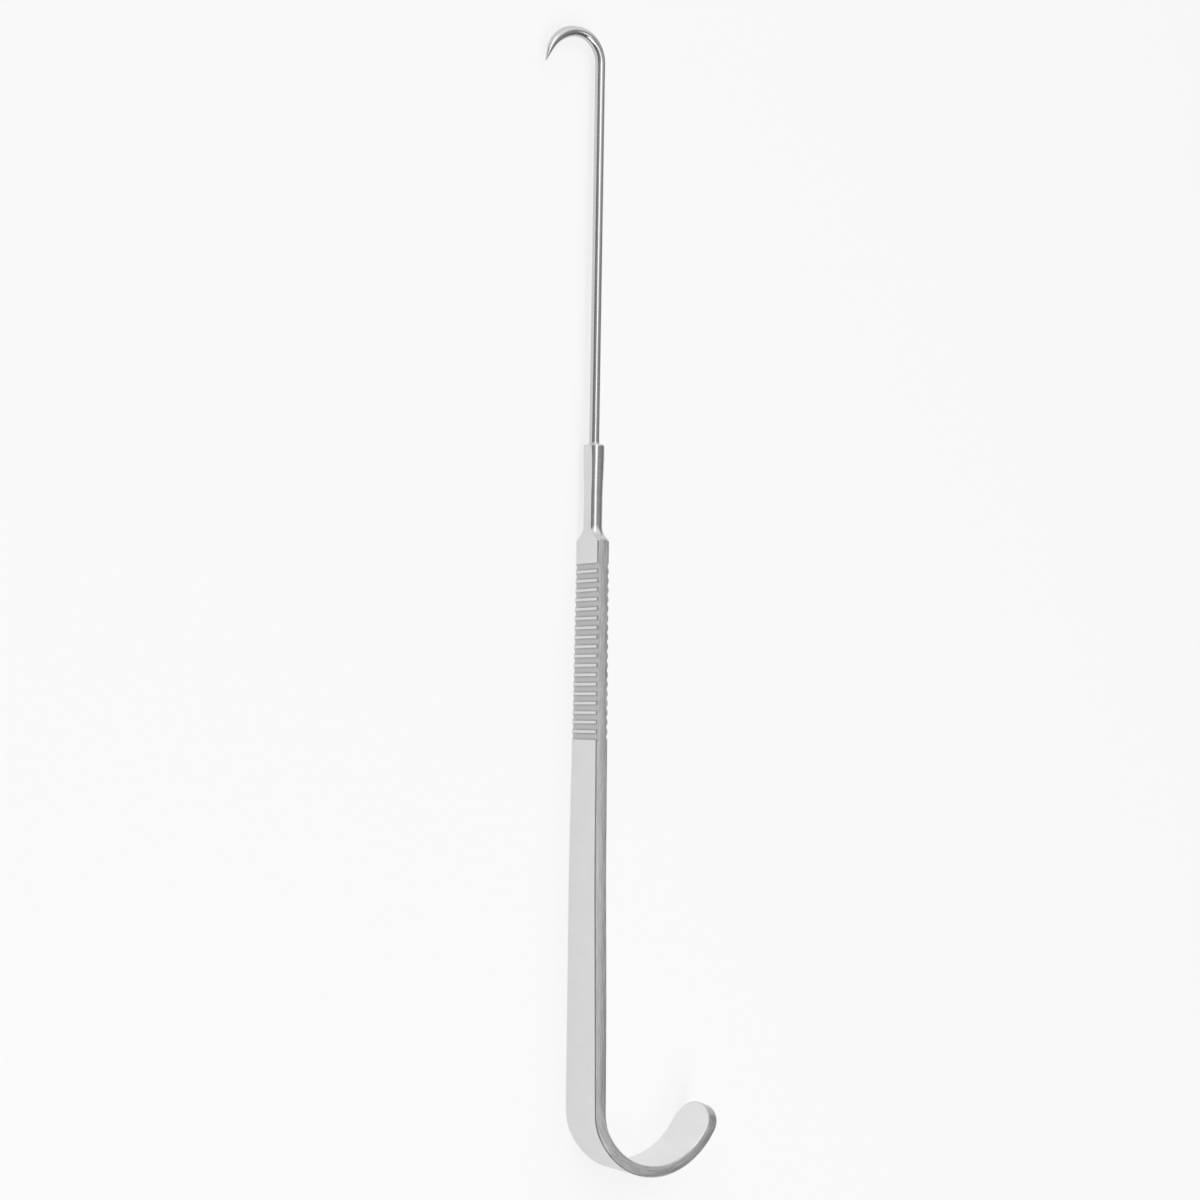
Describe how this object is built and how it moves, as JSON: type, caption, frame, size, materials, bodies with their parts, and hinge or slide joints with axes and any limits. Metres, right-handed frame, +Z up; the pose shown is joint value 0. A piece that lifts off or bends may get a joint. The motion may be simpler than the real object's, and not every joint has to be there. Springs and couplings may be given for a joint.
{
  "type": "handheld surgical hook retractor",
  "caption": "Handheld retractor: a sharp hook on a long round shaft, a turned neck, and a tapering flat handle with grip grooves and a finger curl.",
  "frame": {"origin": "on the surface that the retractor lies on, beneath the middle of its box", "axes": "+X along the shaft and handle, from the hook to the finger curl; +Y the way the curl turns, with the hook's point the other way; +Z up, across the handle's width"},
  "size_m": [0.2458, 0.0503, 0.0111],
  "materials": {
    "satin_steel": "satin stainless steel, brushed along the handle, blasted in the curl and brighter on the shaft"
  },
  "bodies": {
    "root": {"hook_retractor": "satin_steel"}
  },
  "joints": []
}
